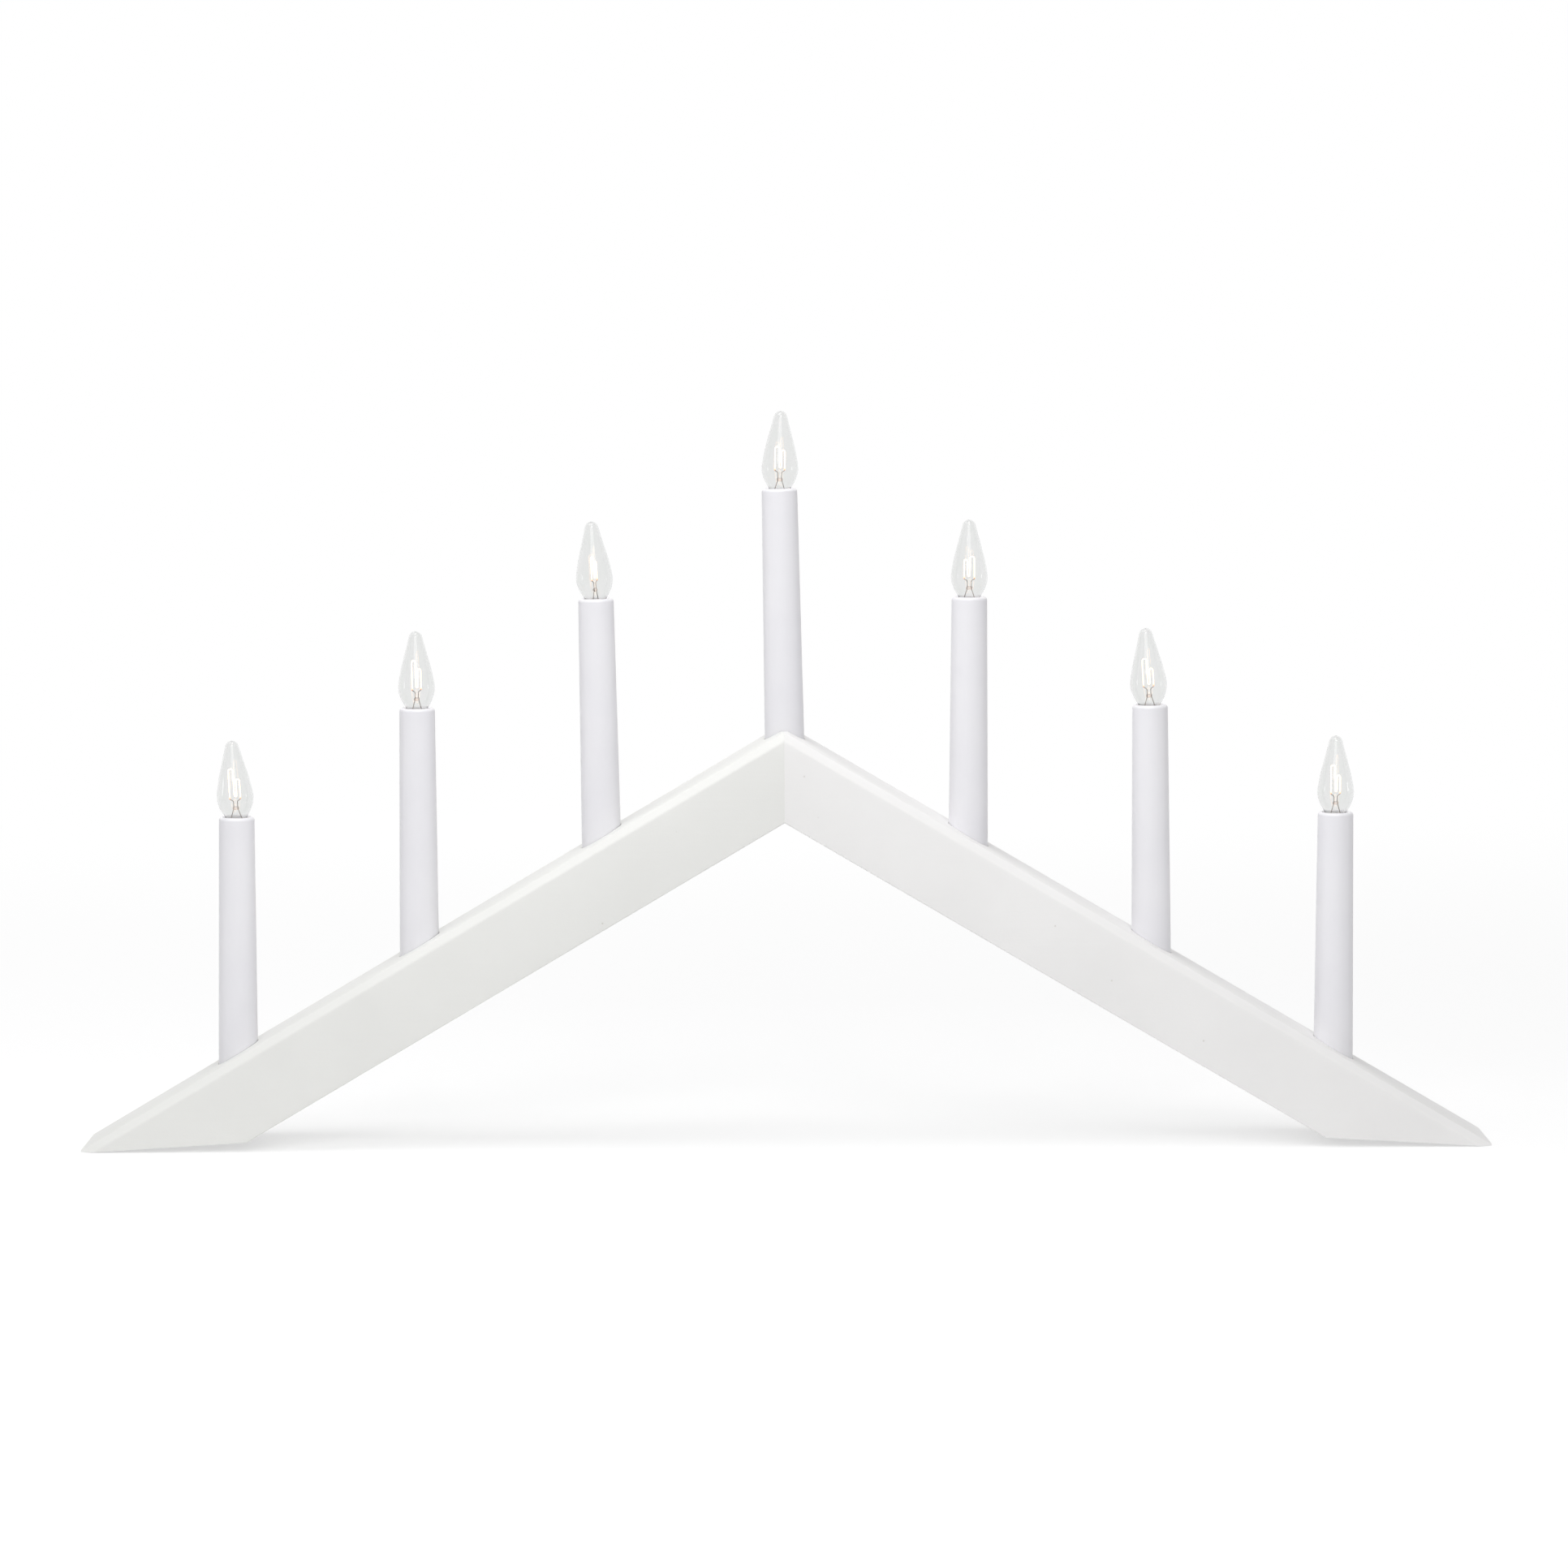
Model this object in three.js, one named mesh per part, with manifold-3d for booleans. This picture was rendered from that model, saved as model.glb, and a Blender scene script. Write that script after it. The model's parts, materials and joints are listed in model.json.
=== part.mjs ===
import * as THREE from "three";
import { mergeVertices } from "three/addons/utils/BufferGeometryUtils.js";
import Module from "manifold-3d";

// Electric candlestick for a window sill: two boards mitred into a chevron carry seven candle tubes,
// each with a small screw lamp in its mouth, all wired in series through a groove under the boards.
// Millimetres, +Z up, the front faces -Y. The origin lies on the table under the ridge.

const wasm = await Module();
wasm.setup();

const radians = THREE.MathUtils.degToRad;

// The chevron
const armSlope = radians(30.6);
const boardThickness = 34;
const boardDepth = 45;
const topEdgeChamfer = 3.3;
const tipHeight = 0.8;
const footTilt = radians(3.4);
const mitreGlueLine = 0.1;
const footReach = 67;

// Fits
const fitGap = 0.3;

// The wires
const wireRadius = 0.95;
const wireBend = 3;
const laneGap = 1.05;

// The wiring groove in the underside and its cover strip
const stripThickness = 3;
const channelDepth = 6;

// The cord's hole in the back of the right arm, counted from the outermost candle and the strip
const cordHoleInset = 28;
const cordHoleRadius = 3.5;
const cordHoleShoulder = 0.5;

// The two dowels across the mitre
const dowelRadius = 3;
const dowelLength = 26;
const dowelWall = 1.85;
const dowelLift = 17.5;

// The lamp, from the rim down and from the rim up
const capRecess = 2.6;
const capRadius = 4.7;
const capLength = 11.3;
const capShellLength = 8.6;
const capWall = 0.3;
const capNoseRadius = 2.6;
const buttonRadius = 1.6;
const buttonHeight = 0.9;
const neckLength = 3.9;
const glassWall = 0.6;
const glassRimRadius = 4.9;
const glassShoulderRadius = 7.1;
const glassShoulderHeight = 4;
const glassWidest = 8.15;
const glassWidestHeight = 8.8;
const glassFlankRadius = 6.8;
const glassFlankHeight = 16.6;
const glassCrownRadius = 2.9;
const glassCrownDepth = 2.2;
const glassHeight = 33.3;

// The filament mount
const leadRadius = 0.25;
const leadSpread = 2.2;
const leadPinch = 1.1;
const beadHalfWidth = 1.6;
const beadHalfDepth = 0.9;
const beadHalfHeight = 1.2;
const beadCentre = 3.4;
const hookHeight = 6.5;
const filamentFoot = 7.7;
const middleFoot = 8.8;
const tallLoopTop = 20.3;
const tallLoopWidth = 2;
const loopGap = 1;
const shortLoopTop = 16.2;
const shortLoopWidth = 1.6;
const filamentBend = 1;

// The lamp holder and the brass in it
const sleeveWall = 0.3;
const sleeveRecess = 1;
const sleeveMouthInFloor = 2.9;
const contactDiscThickness = 0.7;
const holderWall = 0.7;
const holderFloor = 3.8;

// The candles
const candlesPerArm = 3;
const candlePitch = 80;
const rimRise = 103.9;
const seatDepth = 16;
const tubeTopWall = 1.1;
const tubeFootWall = 1.3;
const tubeTaper = 0.85;
const lipOverhang = 0.5;
const lipThickness = 2.5;
const lipRound = 1.2;
const lipInnerRound = 0.4;

// How far the photographed candles lean to the right in their seats, and their bulbs in the caps,
// from the leftmost candle to the rightmost, in degrees
const candleLeans = [0.6, 0.2, -0.8, -0.9, 0.3, -0.5, 0.1];
const bulbLeans = [-3.3, -0.7, -2.1, 1.9, -0.5, -3, -0.3];

// How finely the round pieces are faceted
const tubeSides = 20;
const glassSides = 16;
const glassSteps = 9;
const boreSides = 16;
const innerSides = 12;
const beadSides = 8;
const beadRings = 5;
const wireSides = 6;
const wireBendSteps = 3;
const filamentSides = 4;
const filamentBendSteps = 2;

// A cut runs this far past the face it opens, and points closer than the weld are one point
const cutOvershoot = 1;
const weld = 1e-4;

// The chevron's sizes that follow
const slope = Math.tan(armSlope);
const upright = 1 / Math.cos(armSlope);
const halfSpan = candlesPerArm * candlePitch + footReach;
const ridgeHeight = tipHeight + halfSpan * slope;
const laneOffset = 2 * wireRadius + laneGap;
const grooveWidth = 2 * (laneOffset + wireRadius + laneGap);
const grooveDepth = stripThickness + channelDepth;
const cordHoleX = candlesPerArm * candlePitch - cordHoleInset;
const cordHoleLift = stripThickness + cordHoleShoulder + cordHoleRadius;

// The candle's radii, from the lamp's cap outwards
const neckRadius = capRadius - capWall - fitGap;
const sleeveRadius = capRadius + fitGap + sleeveWall;
const holderRadius = sleeveRadius + fitGap + holderWall;
const tubeBoreRadius = holderRadius + fitGap;
const mouthRadius = tubeBoreRadius - lipOverhang;
const tubeTopRadius = tubeBoreRadius + tubeTopWall;
const tubeFootRadius = tubeTopRadius + tubeTaper;
const seatRadius = tubeFootRadius + fitGap;
const contactDiscRadius = sleeveMouthInFloor - 2 * fitGap;
const sleeveWireOffset = (sleeveMouthInFloor + sleeveRadius) / 2;
const wireBoreRadius = sleeveWireOffset + wireRadius + fitGap;
const dowelSpread = seatRadius + dowelWall + dowelRadius + fitGap;

// The candle's heights, from the rim down
const capTop = -capRecess;
const capShellBottom = capTop - capShellLength;
const capFloor = capShellBottom + capWall;
const buttonBottom = capTop - capLength;
const discTop = buttonBottom - fitGap;
const sleeveBottom = discTop - contactDiscThickness;
const holderTop = -(lipThickness + fitGap);
const holderFloorTop = sleeveBottom - fitGap;
const holderBottom = holderFloorTop - holderFloor;

const topAt = (x) => ridgeHeight - Math.abs(x) * slope;
const undersideAt = (x) => topAt(x) - boardThickness * upright;
const grooveRoofAt = (x) => undersideAt(x) + grooveDepth * upright;
const footAt = (x) => (halfSpan - Math.abs(x)) * Math.tan(footTilt);
const stripTopAt = (x) => undersideAt(x) + stripThickness * upright;
const wireHeightAt = (x) => Math.max(stripTopAt(x), footAt(x)) + (fitGap + wireRadius) * upright;

const finishes = {
  paint: new THREE.MeshStandardMaterial({ color: 0xe9ebe8, roughness: 0.55 }),
  beech: new THREE.MeshStandardMaterial({ color: 0xc9a878, roughness: 0.7 }),
  candle: new THREE.MeshStandardMaterial({ color: 0xececf0, roughness: 0.35 }),
  holder: new THREE.MeshStandardMaterial({ color: 0xe2e2dc, roughness: 0.5 }),
  brass: new THREE.MeshStandardMaterial({ color: 0xc8a85a, roughness: 0.35, metalness: 1 }),
  cap: new THREE.MeshStandardMaterial({ color: 0xb9bbb8, roughness: 0.35, metalness: 1 }),
  glass: new THREE.MeshStandardMaterial({ color: 0xf4f8f6, roughness: 0.05, transparent: true, opacity: 0.3 }),
  filament: new THREE.MeshStandardMaterial({ color: 0xffdca0, roughness: 0.5, emissive: 0xffc070 }),
  wire: new THREE.MeshStandardMaterial({ color: 0xf0f0ee, roughness: 0.5 }),
};

const candlestick = new THREE.Group();

function addPiece(group, name, geometry, finish) {
  const piece = new THREE.Mesh(geometry, finish);
  piece.name = name;
  group.add(piece);
  return piece;
}

// Booleans
function solidOf(geometry) {
  const bare = geometry.clone();
  bare.deleteAttribute("normal");
  bare.deleteAttribute("uv");
  const merged = mergeVertices(bare, weld);
  return new wasm.Manifold(
    new wasm.Mesh({
      numProp: 3,
      vertProperties: merged.attributes.position.array,
      triVerts: new Uint32Array(merged.index.array),
    }),
  );
}

function geometryOf(solid) {
  const mesh = solid.getMesh();
  const geometry = new THREE.BufferGeometry();
  geometry.setAttribute("position", new THREE.BufferAttribute(new Float32Array(mesh.vertProperties), 3));
  geometry.setIndex(new THREE.BufferAttribute(new Uint32Array(mesh.triVerts), 1));
  geometry.computeVertexNormals();
  return geometry;
}

function cut(body, tools) {
  const left = tools.reduce((solid, tool) => solid.subtract(solidOf(tool)), solidOf(body));
  return geometryOf(left);
}

function join(first, second) {
  return geometryOf(solidOf(first).add(solidOf(second)));
}

function common(first, second) {
  return geometryOf(solidOf(first).intersect(solidOf(second)));
}

// A body of revolution about Z, from [radius, height] pairs that run up the outside.
function turned(profile, sides, closed = false) {
  const points = profile.map(([radius, height]) => new THREE.Vector2(radius, height));
  if (closed) points.push(points[0].clone());
  return new THREE.LatheGeometry(points, sides).rotateX(Math.PI / 2);
}

function uprightRod(radius, x, low, high, sides) {
  return new THREE.CylinderGeometry(radius, radius, high - low, sides)
    .rotateX(Math.PI / 2)
    .translate(x, 0, (low + high) / 2);
}

function shapeFrom(pairs) {
  return new THREE.Shape(pairs.map(([a, b]) => new THREE.Vector2(a, b)));
}

// A side outline of [x, z] pairs, given the board's full depth and more.
function sidePrism(pairs) {
  const depth = boardDepth * 2;
  return new THREE.ExtrudeGeometry(shapeFrom(pairs), { depth, bevelEnabled: false })
    .rotateX(Math.PI / 2)
    .translate(0, depth / 2, 0);
}

// A section of [y, height above the board's underside] pairs, run along an arm past both its ends.
function alongArm(side, pairs) {
  const length = halfSpan * 4;
  const across = new THREE.Vector3(0, 1, 0);
  const outward = new THREE.Vector3(side * Math.sin(armSlope), 0, Math.cos(armSlope));
  const along = new THREE.Vector3().crossVectors(across, outward);
  const place = new THREE.Matrix4()
    .makeBasis(across, outward, along)
    .setPosition(0, 0, undersideAt(0));
  return new THREE.ExtrudeGeometry(shapeFrom(pairs), { depth: length, bevelEnabled: false })
    .translate(0, 0, -length / 2)
    .applyMatrix4(place);
}

// What the mitre, foot and tip cuts leave of an arm.
function betweenEndCuts(side, mitreGap) {
  const start = mitreGap / 2;
  const above = ridgeHeight * 2;
  return sidePrism([
    [side * start, above],
    [side * halfSpan, above],
    [side * halfSpan, 0],
    [side * start, footAt(start)],
  ]);
}

const candleNumbers = [];
for (let n = -candlesPerArm; n <= candlesPerArm; n += 1) candleNumbers.push(n);
const candleX = (n) => n * candlePitch;
const label = (n) => n + candlesPerArm + 1;
const leanOf = (leans, n) => radians(leans[n + candlesPerArm] ?? 0);

// A candle leans about the point where its axis meets the arm's top; heights are measured from its rim.
function candleFrame(n) {
  const foot = new THREE.Vector3(candleX(n), 0, topAt(candleX(n)));
  return new THREE.Matrix4()
    .makeRotationY(leanOf(candleLeans, n))
    .setPosition(foot)
    .multiply(new THREE.Matrix4().makeTranslation(0, 0, rimRise));
}

function onCandle(n, offset, height) {
  return new THREE.Vector3(offset, 0, height).applyMatrix4(candleFrame(n));
}

function candleHoles(n) {
  const x = candleX(n);
  const seatFloor = -(rimRise + seatDepth + fitGap);
  const seat = uprightRod(seatRadius, 0, seatFloor, 0, tubeSides).applyMatrix4(candleFrame(n));
  const boreFloor = grooveRoofAt(x) - wireBoreRadius * slope;
  const boreTop = topAt(x) - seatDepth + cutOvershoot;
  return [seat, uprightRod(wireBoreRadius, x, boreFloor, boreTop, boreSides)];
}

function dowelRod(y, radius, length) {
  return new THREE.CylinderGeometry(radius, radius, length, innerSides)
    .rotateZ(Math.PI / 2)
    .translate(0, y, undersideAt(0) + dowelLift);
}

function cordHole() {
  const inner = laneOffset;
  const outer = boardDepth;
  return new THREE.CylinderGeometry(cordHoleRadius, cordHoleRadius, outer - inner, boreSides)
    .translate(cordHoleX, (inner + outer) / 2, undersideAt(cordHoleX) + cordHoleLift * upright);
}

function arm(side) {
  const half = boardDepth / 2;
  const section = [
    [-half, 0],
    [half, 0],
    [half, boardThickness - topEdgeChamfer],
    [half - topEdgeChamfer, boardThickness],
    [-half + topEdgeChamfer, boardThickness],
    [-half, boardThickness - topEdgeChamfer],
  ];
  const groove = [
    [-grooveWidth / 2, -grooveDepth],
    [grooveWidth / 2, -grooveDepth],
    [grooveWidth / 2, grooveDepth],
    [-grooveWidth / 2, grooveDepth],
  ];
  const board = common(alongArm(side, section), betweenEndCuts(side, mitreGlueLine));
  const holes = candleNumbers.filter((n) => n * side >= 0).flatMap(candleHoles);
  const dowelHoles = [-dowelSpread, dowelSpread].map((y) =>
    dowelRod(y, dowelRadius + fitGap, dowelLength + 2 * fitGap),
  );
  const tools = [alongArm(side, groove), ...holes, ...dowelHoles];
  if (side > 0) tools.push(cordHole());
  return cut(board, tools);
}

function coverStrip(side) {
  const half = grooveWidth / 2 - fitGap;
  const section = [
    [-half, 0],
    [half, 0],
    [half, stripThickness],
    [-half, stripThickness],
  ];
  return common(alongArm(side, section), betweenEndCuts(side, mitreGlueLine));
}

// Everything of a candle is drawn about its rim, which lies at height 0, and then put in its frame.
function candleTube() {
  const bottom = -(rimRise + seatDepth);
  const roundCentre = tubeTopRadius - lipRound;
  const lip = [0, 30, 60, 90].map((angle) => [
    roundCentre + lipRound * Math.cos(radians(angle)),
    lipRound * (Math.sin(radians(angle)) - 1),
  ]);
  return turned(
    [
      [tubeFootRadius - tubeFootWall, bottom],
      [tubeFootRadius, bottom],
      [tubeFootRadius, -rimRise],
      ...lip,
      [mouthRadius, -lipInnerRound],
      [mouthRadius, -lipThickness],
      [tubeBoreRadius, -lipThickness],
      [tubeBoreRadius, holderBottom],
    ],
    tubeSides,
    true,
  );
}

function lampHolder() {
  const bore = holderRadius - holderWall;
  const body = turned(
    [
      [0, holderBottom],
      [holderRadius, holderBottom],
      [holderRadius, holderTop],
      [bore, holderTop],
      [bore, holderFloorTop],
      [0, holderFloorTop],
    ],
    innerSides,
  );
  const wireHole = (x) =>
    uprightRod(
      wireRadius + fitGap,
      x,
      holderBottom - cutOvershoot,
      holderFloorTop + cutOvershoot,
      innerSides,
    );
  return cut(body, [wireHole(0), wireHole(sleeveWireOffset)]);
}

function contactSleeve() {
  const top = holderTop - sleeveRecess;
  return turned(
    [
      [sleeveMouthInFloor, sleeveBottom],
      [sleeveRadius, sleeveBottom],
      [sleeveRadius, top],
      [sleeveRadius - sleeveWall, top],
      [sleeveRadius - sleeveWall, sleeveBottom + sleeveWall],
      [sleeveMouthInFloor, sleeveBottom + sleeveWall],
    ],
    innerSides,
    true,
  );
}

function lampCap() {
  return turned(
    [
      [0, buttonBottom],
      [buttonRadius, buttonBottom],
      [buttonRadius, buttonBottom + buttonHeight],
      [capNoseRadius, buttonBottom + buttonHeight],
      [capRadius, capShellBottom],
      [capRadius, capTop],
      [capRadius - capWall, capTop],
      [capRadius - capWall, capFloor],
      [0, capFloor],
    ],
    innerSides,
  );
}

// The drop-shaped bulb: a straight neck in the cap, a belly low down and a long taper to a round tip.
function glassOutline() {
  const flank = new THREE.Vector2(glassFlankRadius, glassFlankHeight);
  const crown = new THREE.Vector2(glassCrownRadius, glassHeight - glassCrownDepth);
  const belly = new THREE.SplineCurve([
    new THREE.Vector2(neckRadius, capTop),
    new THREE.Vector2(glassRimRadius, 0),
    new THREE.Vector2(glassShoulderRadius, glassShoulderHeight),
    new THREE.Vector2(glassWidest, glassWidestHeight),
    flank,
    flank.clone().lerp(crown, 0.5),
    crown,
    new THREE.Vector2(0, glassHeight),
  ]);
  return [new THREE.Vector2(neckRadius, capTop - neckLength), ...belly.getPoints(glassSteps)];
}

function lampGlass() {
  const outline = glassOutline();
  const outside = outline.slice(0, -1).map((p) => [p.x, p.y]);
  const inside = outline
    .slice(0, -2)
    .reverse()
    .map((p) => [p.x - glassWall, p.y]);
  const tip = [
    [0, glassHeight],
    [0, glassHeight - 2 * glassWall],
  ];
  return turned([...outside, ...tip, ...inside], glassSides, true);
}

// A route that takes its own points as steps, so that a straight run needs only one.
class Route extends THREE.Curve {
  constructor(points) {
    super();
    this.points = points;
  }
  getUtoTmapping(u) {
    return u;
  }
  getPoint(t) {
    const place = t * (this.points.length - 1);
    const from = Math.min(Math.floor(place), this.points.length - 2);
    return this.points[from].clone().lerp(this.points[from + 1], place - from);
  }
}

// Rounds each corner of a polyline with a short curve of so many steps.
function rounded(corners, reach, steps) {
  const points = [corners[0]];
  for (let i = 1; i < corners.length - 1; i += 1) {
    const before = corners[i - 1].clone().sub(corners[i]);
    const after = corners[i + 1].clone().sub(corners[i]);
    const start = corners[i].clone().add(before.setLength(Math.min(reach, before.length() / 2)));
    const end = corners[i].clone().add(after.setLength(Math.min(reach, after.length() / 2)));
    points.push(...new THREE.QuadraticBezierCurve3(start, corners[i], end).getPoints(steps));
  }
  points.push(corners[corners.length - 1]);
  return points;
}

function roundWire(corners, radius, reach, steps, sides) {
  const route = new Route(rounded(corners, reach, steps));
  const section = new THREE.Shape().absarc(0, 0, radius, 0, Math.PI * 2);
  return new THREE.ExtrudeGeometry(section, {
    steps: route.points.length - 1,
    extrudePath: route,
    bevelEnabled: false,
    curveSegments: sides / 2,
  });
}

// The mount inside the bulb: two leads, held apart by a glass bead, hook the ends of a filament that is
// bent into a tall and a short loop.
function lampFilament() {
  const at = (x, z) => new THREE.Vector3(x, 0, z);
  const leadFoot = capFloor + fitGap;
  const right = (tallLoopWidth + loopGap + shortLoopWidth) / 2;
  const left = -right;
  const tallRight = left + tallLoopWidth;
  const shortLeft = tallRight + loopGap;
  const corners = [
    at(-leadSpread, leadFoot),
    at(-leadSpread, 0),
    at(-leadPinch, beadCentre),
    at(-leadPinch, hookHeight),
    at(left, filamentFoot),
    at(left, tallLoopTop),
    at(tallRight, tallLoopTop),
    at(tallRight, middleFoot),
    at(shortLeft, middleFoot),
    at(shortLeft, shortLoopTop),
    at(right, shortLoopTop),
    at(right, filamentFoot),
    at(leadPinch, hookHeight),
    at(leadPinch, beadCentre),
    at(leadSpread, 0),
    at(leadSpread, leadFoot),
  ];
  const mount = roundWire(corners, leadRadius, filamentBend, filamentBendSteps, filamentSides);
  const bead = new THREE.SphereGeometry(1, beadSides, beadRings)
    .rotateX(Math.PI / 2)
    .scale(beadHalfWidth, beadHalfDepth, beadHalfHeight)
    .translate(0, 0, beadCentre);
  return join(mount, bead);
}

function addCandle(n) {
  const candle = new THREE.Group();
  candle.applyMatrix4(candleFrame(n));
  candlestick.add(candle);
  const name = (piece) => `${piece}_${label(n)}`;
  addPiece(candle, name("candle_tube"), candleTube(), finishes.candle);
  addPiece(candle, name("lamp_holder"), lampHolder(), finishes.holder);
  addPiece(candle, name("contact_sleeve"), contactSleeve(), finishes.brass);
  addPiece(candle, name("lamp_cap"), lampCap(), finishes.cap);

  // The bulb was cemented a little askew, about the mouth of its cap.
  const bulb = new THREE.Group();
  bulb.position.z = capTop;
  bulb.rotation.y = leanOf(bulbLeans, n);
  candle.add(bulb);
  addPiece(bulb, name("lamp_glass"), lampGlass(), finishes.glass).position.z = -capTop;
  addPiece(bulb, name("lamp_filament"), lampFilament(), finishes.filament).position.z = -capTop;
}

// Wires. Each ends under a contact: at a holder's sleeve, or in a brass disc under the lamp's button.
const sleeveEnd = (n) => onCandle(n, sleeveWireOffset, sleeveBottom - fitGap);
const discEnd = (n) => onCandle(n, 0, sleeveBottom + contactDiscThickness / 2);
const underHolder = (n, offset) => onCandle(n, offset, holderBottom - wireBend);
const inGroove = (x, y) => new THREE.Vector3(x, y, wireHeightAt(x));
const liftOverRidge = new THREE.Vector3(0, 0, wireBend * slope);

function wire(corners) {
  return roundWire(corners, wireRadius, wireBend, wireBendSteps, wireSides);
}

function withContactDisc(geometry, n) {
  const disc = uprightRod(contactDiscRadius, 0, sleeveBottom, discTop, innerSides);
  return join(geometry, disc.applyMatrix4(candleFrame(n)));
}

function linkWire(n) {
  const route = wire([
    sleeveEnd(n),
    underHolder(n, sleeveWireOffset),
    inGroove(candleX(n) + sleeveWireOffset, 0),
    inGroove(candleX(n + 1), 0),
    underHolder(n + 1, 0),
    discEnd(n + 1),
  ]);
  return withContactDisc(route, n + 1);
}

function nearLead() {
  const last = candlesPerArm;
  const x = candleX(last);
  return wire([
    inGroove(cordHoleX + cordHoleRadius + wireBend, laneOffset),
    inGroove(x, laneOffset),
    new THREE.Vector3(x, laneOffset, topAt(x)),
    underHolder(last, sleeveWireOffset),
    sleeveEnd(last),
  ]);
}

function farLead() {
  const first = -candlesPerArm;
  const x = candleX(first);
  const route = wire([
    inGroove(cordHoleX, -laneOffset),
    inGroove(0, -laneOffset).add(liftOverRidge),
    inGroove(x, -laneOffset),
    new THREE.Vector3(x, -laneOffset, topAt(x)),
    underHolder(first, 0),
    discEnd(first),
  ]);
  return withContactDisc(route, first);
}

addPiece(candlestick, "left_arm", arm(-1), finishes.paint);
addPiece(candlestick, "right_arm", arm(1), finishes.paint);
addPiece(candlestick, "left_cover_strip", coverStrip(-1), finishes.paint);
addPiece(candlestick, "right_cover_strip", coverStrip(1), finishes.paint);
for (const [name, y] of Object.entries({ mitre_dowel_front: -dowelSpread, mitre_dowel_back: dowelSpread })) {
  addPiece(candlestick, name, dowelRod(y, dowelRadius, dowelLength), finishes.beech);
}
candleNumbers.forEach(addCandle);
for (const n of candleNumbers.slice(0, -1)) {
  addPiece(candlestick, `link_wire_${label(n)}_${label(n + 1)}`, linkWire(n), finishes.wire);
}
addPiece(candlestick, "supply_lead_near", nearLead(), finishes.wire);
addPiece(candlestick, "supply_lead_far", farLead(), finishes.wire);

export default candlestick;
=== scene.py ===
import json
import math

import bmesh
import bpy
from mathutils import Matrix, Vector


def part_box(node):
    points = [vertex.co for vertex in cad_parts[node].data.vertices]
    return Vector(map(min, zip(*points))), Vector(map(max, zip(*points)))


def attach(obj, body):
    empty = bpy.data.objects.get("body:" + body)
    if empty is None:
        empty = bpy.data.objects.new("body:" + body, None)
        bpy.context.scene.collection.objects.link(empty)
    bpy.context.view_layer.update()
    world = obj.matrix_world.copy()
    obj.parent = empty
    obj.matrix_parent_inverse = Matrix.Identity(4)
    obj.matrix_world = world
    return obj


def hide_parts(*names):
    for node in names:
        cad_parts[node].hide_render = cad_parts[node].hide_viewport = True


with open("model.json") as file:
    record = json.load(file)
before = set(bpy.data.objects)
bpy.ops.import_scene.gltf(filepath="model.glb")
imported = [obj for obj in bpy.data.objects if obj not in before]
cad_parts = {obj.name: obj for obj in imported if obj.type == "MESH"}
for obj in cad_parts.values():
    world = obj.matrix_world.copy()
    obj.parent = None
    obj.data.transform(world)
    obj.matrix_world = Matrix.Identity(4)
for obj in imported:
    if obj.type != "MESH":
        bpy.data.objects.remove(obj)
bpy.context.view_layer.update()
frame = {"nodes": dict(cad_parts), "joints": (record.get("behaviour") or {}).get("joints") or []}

MM = 0.001
FULL_TURN = 2 * math.pi
QUARTER_TURN = FULL_TURN / 4

# The boards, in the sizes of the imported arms
ARM_SLOPE = math.radians(30.6)
BOARD_THICKNESS = 34 * MM
EDGE_CHAMFER = 3.3 * MM
EDGE_ROUND = 0.7 * MM
FOOT_TILT = math.radians(3.4)
MITRE_GLUE_LINE = 0.1 * MM
MITRE_FILLED_TO = 0.005 * MM
RIDGE_WEAR = 1 * MM
RIDGE_SHOULDER = 0.64 * MM
GROOVE_WIDTH = 9.9 * MM
GROOVE_DEPTH = 9 * MM
FIT_GAP = 0.3 * MM

arm_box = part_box("right_arm")
HALF_SPAN = arm_box[1].x
HALF_DEPTH = arm_box[1].y
SLOPE = math.tan(ARM_SLOPE)
RIDGE_HEIGHT = arm_box[1].z + MITRE_GLUE_LINE / 2 * SLOPE
UNDERSIDE_AT_RIDGE = RIDGE_HEIGHT - BOARD_THICKNESS / math.cos(ARM_SLOPE)

# What is drilled into the boards
WIRE_BORE_RADIUS = 5.35 * MM
WIRE_LANE = 2.95 * MM
CORD_HOLE_RADIUS = 3.5 * MM
CORD_HOLE_X = 212 * MM
CORD_HOLE_LIFT = 7 * MM
DOWEL_HOLE_RADIUS = 3.3 * MM
DOWEL_HOLE_DEPTH = 13.3 * MM
DRILL_THROUGH = 1 * MM

# The candle tubes, with heights counted up from the rim
CANDLES = range(1, 8)
CANDLE_PITCH = 80 * MM
RIM_RISE = 103.9 * MM
SEAT_DEPTH = 16 * MM
TUBE_BORE = 6.6 * MM
TUBE_MOUTH = 5.9 * MM
TUBE_TOP_RADIUS = 7.7 * MM
TUBE_FOOT_RADIUS = 8.55 * MM
TUBE_FOOT_WALL = 1.3 * MM
LIP_THICKNESS = 2.5 * MM
LIP_ROUND = 1.5 * MM
LIP_INNER_ROUND = 0.5 * MM
TUBE_BOTTOM = -(RIM_RISE + SEAT_DEPTH)

# The lamp holder and the brass sleeve in it
HOLDER_TOP = -2.8 * MM
HOLDER_BOTTOM = -19 * MM
HOLDER_RADIUS = 6.3 * MM
HOLDER_WALL = 0.7 * MM
HOLDER_FLOOR = 3.8 * MM
HOLDER_ROUND = 0.3 * MM
WIRE_HOLE_RADIUS = 1.25 * MM
SLEEVE_WIRE_OFFSET = 4.1 * MM
SLEEVE_TOP = -3.8 * MM
SLEEVE_BOTTOM = -14.9 * MM
SLEEVE_RADIUS = 5.13 * MM
SLEEVE_MOUTH = 2.9 * MM

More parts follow.
